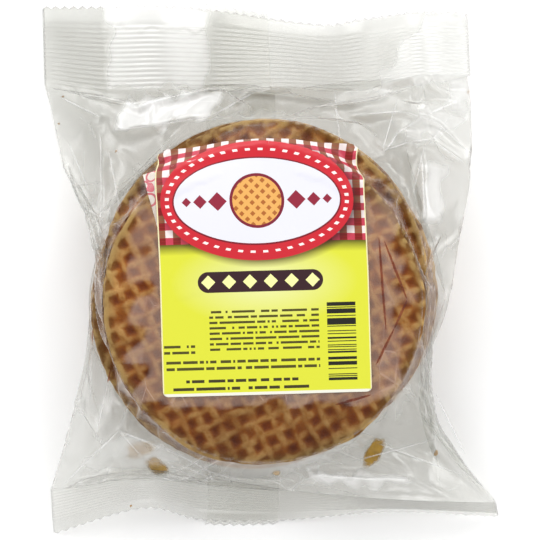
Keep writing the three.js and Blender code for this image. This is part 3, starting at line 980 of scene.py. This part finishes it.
painted_gleam, painted_shade = np.zeros_like(veil), np.zeros_like(veil)
wavy = [tube[..., axis] + EDGE_WAVER * patches(tube[..., 0], tube[..., 1], 9, 31 + axis)
        for axis in (0, 1)]
# fill the painted highlight and painted shade patches, each soft at its edge
for field, shapes in ((painted_gleam, PAINTED_GLEAM_PATCHES), (painted_shade, PAINTED_SHADE_PATCHES)):
    for corners, share in shapes:
        here = share * inside_shape(*wavy, corners, PAINTED_PATCH_EDGE)
        field[:, :half] = np.maximum(field, here)[:, :half]
crumpled = np.zeros_like(veil)
crumpled[inner] = smooth(film_normals(pouch)[..., 2], *CRUMPLED)
values = dict(zip(FILM_VALUES, (veil, painted_gleam, painted_shade, crumpled, above_waffles)))
film = new_piece("film_tube", closed_tube(tube), clear_film("clear_polypropylene_film", "#F1F1EF"),
                 values)
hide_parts("bag")


# ---- Lap seam ----------------------------------------------------------------------------------
# Up the middle of the back, the film's one long edge laps over the other and is welded to it. It
# shows as a strip of double film, cut a little longer than the rest at both ends.

SEAM_SPAN = (266.25, 293.75)     # round the tube
SEAM_OFF = (0.1, 0.16)           # its two faces, below the back film
SEAM_EXTRA = 2.2


def lap_seam():
    """The back film's points between SEAM_SPAN, moved out along their normals by SEAM_OFF, with
    the end rows drawn on by SEAM_EXTRA."""
    step = 2 * LAY_FLAT / COLUMNS
    first, last = (int(round(s / step)) for s in SEAM_SPAN)
    strip = tube[:, first:last + 1]
    normal = film_normals(tube)[:, first:last + 1]
    faces = []
    for off in SEAM_OFF:
        side = strip + normal * off
        for end, before in ((0, 3), (-1, -4)):
            way = side[end] - side[before]
            side[end] += way / np.linalg.norm(way, axis=-1, keepdims=True) * SEAM_EXTRA
        side[..., 2] = np.maximum(side[..., 2], TABLE_CLEAR - off / 2)
        faces.append(side)
    return two_sided(faces[1], faces[0])


body = lap_seam()
new_piece("lap_seam", body, clear_film("welded_polypropylene_lap", "#FCFCFB"),
          dict.fromkeys(FILM_VALUES, np.zeros(len(body[0]))))


# ---- Creases -----------------------------------------------------------------------------------
# Where the stiff film was bent over on itself it keeps a sharp straight ridge. The ridges run
# along the folds of the front, and a few more between them.

SHORT_CREASES = [                # the two ends of each, as x, y
    [(49, 66), (43, 46)], [(23, 66), (29.5, 55)], [(60, 50), (55, 30)], [(70, 60), (60.5, 48)],
    [(25, 70), (26.5, 50)], [(-58.4, -61.7), (-50.5, -71.5)], [(-24.3, -77.2), (-22.5, -82.5)],
    [(-40.6, -74.2), (-25, -83.6)], [(-36, -74.6), (-20, -82.4)], [(-31, -75.3), (-12, -82)],
    [(41.5, -67), (76, -80.5)], [(31, -74), (64, -66)], [(-79, 50), (-70, 30)],
    [(-63, 47), (-58, 22)], [(58, -35), (61, -62)], [(64, -48), (76, -72)],
    [(-62, -38), (-68, -66)],
]
CREASE_WIDTH = 0.6
WIDTH_OVER_WAFFLES = 1.6              # times as wide over the waffles
CREASE_HEIGHT = 0.25
CREASE_LIFT = 0.03


def front_height(x, y):
    """The front film's height over each point: the mean of the six nearest points of its grid,
    each weighted by one over its distance squared."""
    side = tube[:, 1:half].reshape(-1, 3)
    far = np.hypot(x[..., None] - side[:, 0], y[..., None] - side[:, 1]) + 0.01
    near = np.argpartition(far, 6, axis=-1)[..., :6]
    weight = np.take_along_axis(far, near, -1) ** -2.0
    return (side[near, 2] * weight).sum(-1) / weight.sum(-1)


def ridge(start, end):
    """One crease: a low three-sided bar that lies on the film from start to end and tapers to
    nothing at both by the square root of a sine. Over the waffles it is wider."""
    length = np.hypot(end[0] - start[0], end[1] - start[1])
    share = np.linspace(0, 1, int(length) + 3)
    x = start[0] + (end[0] - start[0]) * share
    y = start[1] + (end[1] - start[1]) * share
    side_x, side_y = (start[1] - end[1]) / length, (end[0] - start[0]) / length
    taper = 0.1 + 0.9 * np.sqrt(np.sin(np.pi * share))
    wide = np.where(stack_height(x, y) > 0, WIDTH_OVER_WAFFLES, 1) * CREASE_WIDTH
    rows = []
    for out, up in ((-0.5, 0.0), (0.5, 0.0), (0.0, 1.0)):
        off = out * wide * taper
        z = front_height(x, y) + CREASE_LIFT + up * CREASE_HEIGHT * taper
        rows.append(np.stack([x + off * side_x, y + off * side_y, z], -1))
    count = 3 * len(share)
    caps = np.array([[2, 1, 0], [count - 3, count - 2, count - 1]])
    return np.stack(rows, 1).reshape(-1, 3), [ring_faces(len(share), 3), caps]


def crease_light_and_shade():
    """Polypropylene bent sharp, its light and shade painted on: a painted highlight of white
    along the bend, and painted shade, a darker tint, where it is over the waffles."""
    material, add = new_material("creased_polypropylene")
    above_waffles = add("Attribute", attribute_name="above_waffles", out=2)
    # painted shade: a darker tint over the waffles; painted highlight: white diffuse off them
    tint = add("Mix.RGBA", above_waffles, "#FFFFFF", "#E6C6B8")
    through = add("BsdfTransparent", tint)
    diffuse_white = add("BsdfDiffuse", "#FFFFFF")
    share = add("MapRange", above_waffles, 0.0, 1.0, 0.22, 0.02)
    add("OutputMaterial", add("MixShader", share, through, diffuse_white))
    return material


lines = list(SHORT_CREASES)
for crest in CRESTS:
    lines += [(start[:2], end[:2]) for start, end in zip(crest[:-1], crest[1:])]
body = joined([ridge(*line) for line in lines])
over_waffles = stack_height(*body[0][:, :2].T) > 0
new_piece("film_creases", body, crease_light_and_shade(), {"above_waffles": over_waffles.astype(float)})


# ---- Crumbs and smears -------------------------------------------------------------------------
# Bits of crust that came off the waffles and lie loose in the bag, and smears of their sugar
# cream on the inside of the front film, thick in the middle and thin at the edge.

CRUMBS = [                       # x, y, length, width, height, turn in degrees
    (65.0, -71.9, 2.4, 1.4, 0.6, 70),
    (77.0, 69.5, 1.3, 1.0, 0.5, 80),
    (-81.6, 68.2, 1.1, 0.8, 0.5, 20),
    (-83.3, 57.6, 1.0, 0.8, 0.5, 0),
    (-54.6, -92.0, 1.0, 0.7, 0.5, 30),
    (-61.0, 47.0, 1.2, 0.9, 0.5, 60),
]
SMEAR_GAP = 1.0


def crumb(x0, y0, z0, length, width, height, turn, seed):
    """A rough lump: a ball stretched to its three sizes, its radius uneven by crossed sines."""
    draw = np.random.default_rng(seed)
    around = np.linspace(0, 2 * np.pi, 28, endpoint=False)
    down = np.linspace(0.12, np.pi - 0.12, 15)[:, None]
    wave = draw.uniform(0, 6, 4)
    rough = 1 + 0.13 * np.sin(3 * around + wave[0]) * np.sin(2 * down + wave[1])
    rough = rough + 0.08 * np.sin(7 * around + wave[2]) * np.sin(6 * down + wave[3])
    u = np.sin(down) * np.cos(around) * length / 2 * rough
    v = np.sin(down) * np.sin(around) * width / 2 * rough
    w = np.cos(down) * height / 2 * rough
    right, up = on_turned(u, v, -turn)
    return turned(np.stack([x0 + right, y0 + up, z0 + w], -1))


def smear(x0, y0, length, width, turn, thickness):
    """A patch of cream on the film's inner side: rings of a disc stretched to its two sizes,
    SMEAR_GAP under the film and a third of that thick. Its values say how much it covers at each
    point: thickness in the middle and nothing at the edge."""
    around = np.linspace(0, 2 * np.pi, 40, endpoint=False)
    out = np.linspace(0.04, 1, 12)[:, None]
    edge = 1 + ripple(around, 0.1, 8, int(10 * length))
    u, v = out * edge * np.cos(around) * length / 2, out * edge * np.sin(around) * width / 2
    right, up = on_turned(u, v, -turn)
    x, y = x0 + right, y0 + up
    z = front_height(x, y) - SMEAR_GAP
    top = np.stack([x, y, z], -1)
    bottom = np.stack([x, y, z - SMEAR_GAP / 3], -1)
    points, faces = turned(np.concatenate([top, bottom[::-1]]))
    thick = np.broadcast_to(thickness * (1 - out**1.5), x.shape)
    values = np.concatenate([thick.ravel(), thick[::-1].ravel(), [thickness, thickness]])
    return points, faces, values


def smeared_cream():
    """Sugar cream rubbed thin on the film: ochre, and clear where it is thin, with a grainy,
    uneven edge."""
    material, add = new_material("smeared_sugar_cream")
    place = add("TexCoord", out=3)
    thick = add("Attribute", attribute_name="thick", out=2)
    grain = add("TexNoise", place, named={"Scale": 420, "Detail": 3})
    colour = add("Mix.RGBA", grain, "#8E6A0A", "#C89C2E")
    cream = add("BsdfPrincipled", named={"Base Color": colour, "Roughness": 0.6})
    clear = add("BsdfTransparent")
    cover = add("Math.MULTIPLY", grain, thick)
    cover = add("MapRange", cover, 0.02, 0.25, 0.0, 0.95)
    add("OutputMaterial", add("MixShader", cover, clear, cream))
    return material


lumps = []
for number, (x0, y0, length, width, height, turn) in enumerate(CRUMBS):
    back = tube[:, half + 1:]
    near = np.argmin(np.hypot(back[..., 0] - x0, back[..., 1] - y0))
    rest = back[..., 2].ravel()[near] + height / 2 + 0.05
    lumps.append(crumb(x0, y0, rest, length, width, height, turn, number))
# crust crumbs soaked with sugar: ochre, dull and grainy
crumb_mix = grainy("sugared_crust_crumb", (500, 3), ("#8A6224", "#C79F55"), (0.5, 0.0005),
                   Roughness=0.6)
new_piece("crumbs", joined(lumps), crumb_mix)
smears = [smear(*sizes) for sizes in SMEARS]
new_piece("cream_smears", joined(smears), smeared_cream(),
          {"thick": np.concatenate([patch[2] for patch in smears])})


# ---- Label -------------------------------------------------------------------------------------
# A coated paper label with round corners, printed in yellow, red and brown and stuck flat on the
# outside of the film before the bag was formed, so it follows every bend of the front.

LABEL_CORNER = 2.0
LABEL_OFF = 0.12                 # its glue holds it this far off the film
LABEL_PAPER = 0.14
LABEL_GRID = (100, 124)


def on_tube(s, t):
    """The place and outward direction of points at s round and t along the pouch, between the
    four nearest points of the film's grid."""
    rows, columns, _ = pouch.shape
    i, j = s * columns / (2 * LAY_FLAT), t * (rows - 1) / TUBE_LENGTH
    i0, j0 = i.astype(int), np.minimum(j.astype(int), rows - 2)
    fi, fj = (i - i0)[..., None], (j - j0)[..., None]

    def between(grid):
        low = grid[j0, i0] * (1 - fi) + grid[j0, i0 + 1] * fi
        high = grid[j0 + 1, i0] * (1 - fi) + grid[j0 + 1, i0 + 1] * fi
        return low * (1 - fj) + high * fj

    return between(pouch), between(film_normals(pouch))


def label_sheet():
    """The label's grid of x and y from its lower left corner, its rows drawn in near the ends by
    the corner's circle, and the same grid turned and laid on the tube."""
    wide, tall = LABEL_SIZE
    u = np.linspace(-1, 1, LABEL_GRID[0] + 1)
    ease = LABEL_CORNER * (1 - np.cos(np.linspace(0, np.pi / 2, 7)))
    y = np.concatenate([ease, np.linspace(LABEL_CORNER, tall - LABEL_CORNER,
                                          LABEL_GRID[1] + 1)[1:-1], tall - ease[::-1]])
    depth = np.clip(LABEL_CORNER - np.minimum(y, tall - y), 0, LABEL_CORNER)
    inset = LABEL_CORNER - np.sqrt(LABEL_CORNER**2 - depth**2)
    x = wide / 2 + u * (wide / 2 - inset)[:, None]
    y = y[:, None] * np.ones_like(x)
    right, up = on_turned(x - wide / 2, y - tall / 2, -LABEL_TURN)
    return x, y, *on_tube(LABEL_MIDDLE[0] + right, LABEL_MIDDLE[1] + up)


def printed_paper():
    """Coated label paper, printed and varnished: a gingham band in reds, a red oval badge with a
    plain waffle roundel, a yellow field that glows pale in the middle, an ornament, rows of
    small print too fine to read, and bars. Satin, with the paper's white at its edges."""
    material, add = new_material("printed_label_paper")
    uv = add("UVMap", uv_map="print")
    spot = add("VectorMath.MULTIPLY", uv, (*LABEL_SIZE, 1))
    parts = add("SeparateXYZ", spot)
    x, y = parts, parts.node.outputs[1]

    less, both = partial(add, "Math.LESS_THAN"), partial(add, "Math.MULTIPLY")

    def within(value, low, high):
        """1 where value lies from low to high."""
        return add("Math.COMPARE", value, (low + high) / 2, (high - low) / 2)

    def box(x0, x1, y0, y1):
        """1 inside a rectangle."""
        return both(within(x, x0, x1), within(y, y0, y1))

    def oval(x0, y0, half_x, half_y):
        """1 on an ellipse's edge, less inside and more outside: the length of the way from its
        middle, each part over its half axis."""
        way = add("VectorMath.SUBTRACT", spot, (x0, y0, 0))
        way = add("VectorMath.DIVIDE", way, (half_x, half_y, 1))
        return add("VectorMath.LENGTH", way)

    def over(under, mask, ink):
        """Ink laid over what is printed below it, by a mask of 0 to 1."""
        return add("Mix.RGBA", mask, under, ink)

    def through(value, period):
        """How far value is through its period, from 0 to 1."""
        return add("Math.FRACT", add("Math.DIVIDE", value, period))

    def stripes(value, period, share=0.5):
        """1 on the first share of each period and 0 on the rest."""
        return less(through(value, period), share)

    def small_print(x0, x1, y0, line, count, seed):
        """Rows of short dark dashes in place of small print: each cell of a row is on or off by
        a random number, and a dash fills the middle of its row."""
        up = add("Math.ADD", y, -y0)
        up = add("Math.DIVIDE", up, line)
        row = add("Math.FLOOR", up)
        height = add("Math.FRACT", up)
        cell = add("Math.FLOOR", add("Math.DIVIDE", x, 0.8))
        key = add("CombineXYZ", cell, row, seed)
        draw = add("TexWhiteNoise", key, noise_dimensions="3D")
        dash = add("Math.GREATER_THAN", draw, 0.2)
        dash = both(dash, within(height, 0.28, 0.72))
        return both(dash, box(x0, x1, y0, y0 + line * count))

    # the yellow field, paler in the middle and shaded under the gingham
    glow = add("MapRange", oval(40, 43, 36, 17), 0.1, 1.0, 0.85, 0.0)
    ground = over("#D3D638", glow, "#E0E3A8")
    shade = add("MapRange", y, 54.0, 58.5, 0.0, 0.95)
    ground = over(ground, shade, "#2A1A0A")
    # the gingham band: white, rose, brown and deep red squares
    upright, level = stripes(x, 5.8), stripes(y, 5.8)
    cloth = over("#E6DAD8", level, "#BE3C50")
    crossing = over("#87593A", level, "#7C1510")
    cloth = over(cloth, upright, crossing)
    threads = both(stripes(y, 1.1, 0.35), upright)
    cloth = over(cloth, both(threads, 0.3), "#A61A24")
    ground = over(ground, add("Math.GREATER_THAN", y, 58.2), cloth)
    # the oval badge, its shadow, and beads along its rim
    shadow = add("MapRange", oval(40.2, 73.2, 38.2, 23.4), 0.93, 1.06, 0.8, 0.0)
    ground = over(ground, shadow, "#3A0A10")
    ground = over(ground, less(oval(38.6, 74.3, 37.0, 22.9), 1.0), "#C4222F")
    middle = add("VectorMath.SUBTRACT", spot, (38.6, 74.3, 0))
    squeezed = add("VectorMath.MULTIPLY", middle, (1.0, 1.72, 1))
    sides = add("SeparateXYZ", squeezed)
    bearing = add("Math.ARCTAN2", sides.node.outputs[1], sides)
    bead = within(through(bearing, 2 * np.pi / 44), 0.3, 0.7)
    ring = within(oval(38.6, 74.3, 34.5, 19.6), 0.978, 1.022)
    ground = over(ground, both(bead, ring), "#F6E9E6")
    # its dark line and pale field, and on that a plain waffle roundel between lozenges
    slanted, crossed = add("Math.ADD", x, y), add("Math.SUBTRACT", x, y)
    pits = both(stripes(slanted, 4.2), stripes(crossed, 4.2))
    baked = over("#E0A75A", pits, "#A9622A")
    for shape, ink in (((38.6, 74.1, 32.4, 16.9), "#7A1522"), ((38.6, 74.2, 31.8, 16.3), "#DFDFE8"),
                       ((38.6, 74.2, 10.5, 10.5), "#7A1B30"), ((38.6, 74.2, 9.4, 9.4), baked)):
        ground = over(ground, less(oval(*shape), 1.0), ink)
    for x0, size in ((23.5, 3.6), (16.8, 2.6), (11.6, 1.8), (53.7, 3.6), (60.4, 2.6),
                     (65.6, 1.8)):
        way = add("VectorMath.SUBTRACT", spot, (x0, 74.2, 0))
        way = add("VectorMath.ABSOLUTE", way)
        far = add("VectorMath.DOT_PRODUCT", way, (1, 1, 0))
        ground = over(ground, less(far, size), "#8C2238")
    # the ornament on the yellow: a dark bar with round ends, cut by lozenges
    bar = both(within(y, 39.4, 47.4), within(x, 18.5, 58.5))
    for x0 in (18.5, 58.5):
        bar = add("Math.MAXIMUM", bar, less(oval(x0, 43.4, 4.0, 4.0), 1.0))
    ground = over(ground, bar, "#33181F")
    pace = through(add("Math.ADD", x, 1.5), 8.0)
    pace = add("Math.ABSOLUTE", both(add("Math.SUBTRACT", pace, 0.5), 8.0))
    rise = add("Math.ABSOLUTE", add("Math.SUBTRACT", y, 43.4))
    lozenge = both(less(add("Math.ADD", pace, rise), 2.7), within(x, 15.5, 61.5))
    ground = over(ground, lozenge, "#EEF0A0")
    # small print and bars
    for block, ink in (
            ((18.5, 60.5, 16.6, 2.05, 8, 1), "#4B4516"), ((0.9, 12.8, 15.6, 2.3, 2, 2), "#4B4516"),
            ((1.2, 60.5, 9.2, 2.5, 2, 3), "#4B4516"), ((9.0, 53.0, 4.3, 2.6, 1, 4), "#3A3318"),
            ((3.0, 56.0, 1.4, 2.6, 1, 5), "#3A3318")):
        ground = over(ground, small_print(*block), ink)
    thin = add("Math.FLOOR", add("Math.DIVIDE", y, 0.36))
    draw = add("TexWhiteNoise", named={"W": thin}, noise_dimensions="1D")
    bars = add("Math.GREATER_THAN", draw, 0.47)
    bars = both(bars, box(63.6, 74.6, 4.4, 35.4))
    ground = over(ground, bars, "#1B1A14")
    # the paper's edge: white below, cream at the sides
    inner = within(x, 0.5, LABEL_SIZE[0] - 0.45)
    ground = over("#EDE3B4", inner, ground)
    ground = over(ground, less(y, 1.1), "#E4E2D4")
    fibre = add("TexNoise", spot, named={"Scale": 1.6, "Detail": 2})
    bump = add("Bump", named={"Height": fibre, "Strength": 0.12, "Distance": 0.0002})
    shader = add("BsdfPrincipled", named={
        "Base Color": ground, "Roughness": 0.42, "IOR": 1.5, "Normal": bump})
    add("OutputMaterial", shader)
    return material


x, y, place, normal = label_sheet()
body = two_sided(place + normal * (LABEL_OFF + LABEL_PAPER), place + normal * LABEL_OFF)
label = new_piece("paper_label", body, printed_paper())
flat = np.stack([x / LABEL_SIZE[0], y / LABEL_SIZE[1]], -1).reshape(-1, 2)
corner = np.empty(len(label.data.loops), int)
label.data.loops.foreach_get("vertex_index", corner)
print_map = label.data.uv_layers.new(name="print")
print_map.uv.foreach_set("vector", np.tile(flat, (2, 1))[corner].ravel())
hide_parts("label")


# ---- Table, lamps and camera -------------------------------------------------------------------
# A plain white table under wide soft lamps, seen from straight above.

TABLE_SIZE = 3000.0
CAMERA_HEIGHT = 1340.0
LABEL_LEVEL = 40.0
FIELD_AT_LABEL = 540 * 0.383     # what the square picture takes in at the label's height
AIM = (-0.3, 0.1)
LAMP_SIZE = 0.6                  # metres
LAMPS = {                        # place in metres, and power
    "lamp_left": ((-0.75, 0.35, 0.6), 3.3),
    "lamp_right": ((0.8, 0.5, 0.7), 4.8),
    "lamp_near": ((0.1, -0.9, 0.6), 2.9),
    "lamp_far": ((-0.15, 0.95, 0.55), 4.0),
}


def table_paint():
    """White matt board: plain, with the faintest grain."""
    material, add = new_material("white_matt_board")
    place = add("TexCoord", out=3)
    grain = add("TexNoise", place, named={"Scale": 40, "Detail": 2})
    colour = add("Mix.RGBA", grain, "#FBFBFB", "#FFFFFF")
    shader = add("BsdfPrincipled", named={
        "Base Color": colour, "Roughness": 0.9, "Specular IOR Level": 0.1})
    add("OutputMaterial", shader)
    return material


def table():
    """One flat square, its top at height 0."""
    half_side = TABLE_SIZE * MM / 2
    mesh = bpy.data.meshes.new("table")
    corners = [(-half_side, -half_side, 0), (half_side, -half_side, 0),
               (half_side, half_side, 0), (-half_side, half_side, 0)]
    mesh.from_pydata(corners, [], [(0, 1, 2, 3)])
    mesh.materials.append(table_paint())
    piece = bpy.data.objects.new("table", mesh)
    bpy.context.collection.objects.link(piece)


def lamp(name, place, power):
    """A square soft lamp that shines from place at the pack."""
    light = bpy.data.lights.new(name, "AREA")
    light.size, light.energy = LAMP_SIZE, power
    holder = bpy.data.objects.new(name, light)
    holder.location = place
    back = np.array(place) / np.linalg.norm(place)
    yaw, pitch = np.arctan2(back[1], back[0]), np.arccos(back[2])
    holder.rotation_euler = (0, pitch, yaw)
    bpy.context.collection.objects.link(holder)


def studio():
    """Soft light from white walls all round, and a dark ceiling, where the camera hangs."""
    world = bpy.data.worlds.new("studio")
    world.use_nodes = True
    world.node_tree.nodes.clear()
    add = partial(add_node, world.node_tree)
    way = add("TexCoord")
    parts = add("SeparateXYZ", way)
    light = add("MapRange", parts.node.outputs[2], 0.75, 0.97, 0.86, 0.14)
    add("OutputWorld", add("Background", (1, 1, 1, 1), light))
    bpy.context.scene.world = world


table()
for name, (place, power) in LAMPS.items():
    lamp(name, place, power)
studio()
bpy.context.scene.view_settings.view_transform = "Standard"
bpy.context.scene.cycles.transparent_max_bounces = 32

lens = bpy.data.cameras.new("camera")
lens.sensor_width = 36
distance = CAMERA_HEIGHT - LABEL_LEVEL
lens.lens = lens.sensor_width * distance / FIELD_AT_LABEL
camera = bpy.data.objects.new("camera", lens)
camera.location = (AIM[0] * MM, AIM[1] * MM, CAMERA_HEIGHT * MM)
bpy.context.collection.objects.link(camera)
bpy.context.scene.camera = camera
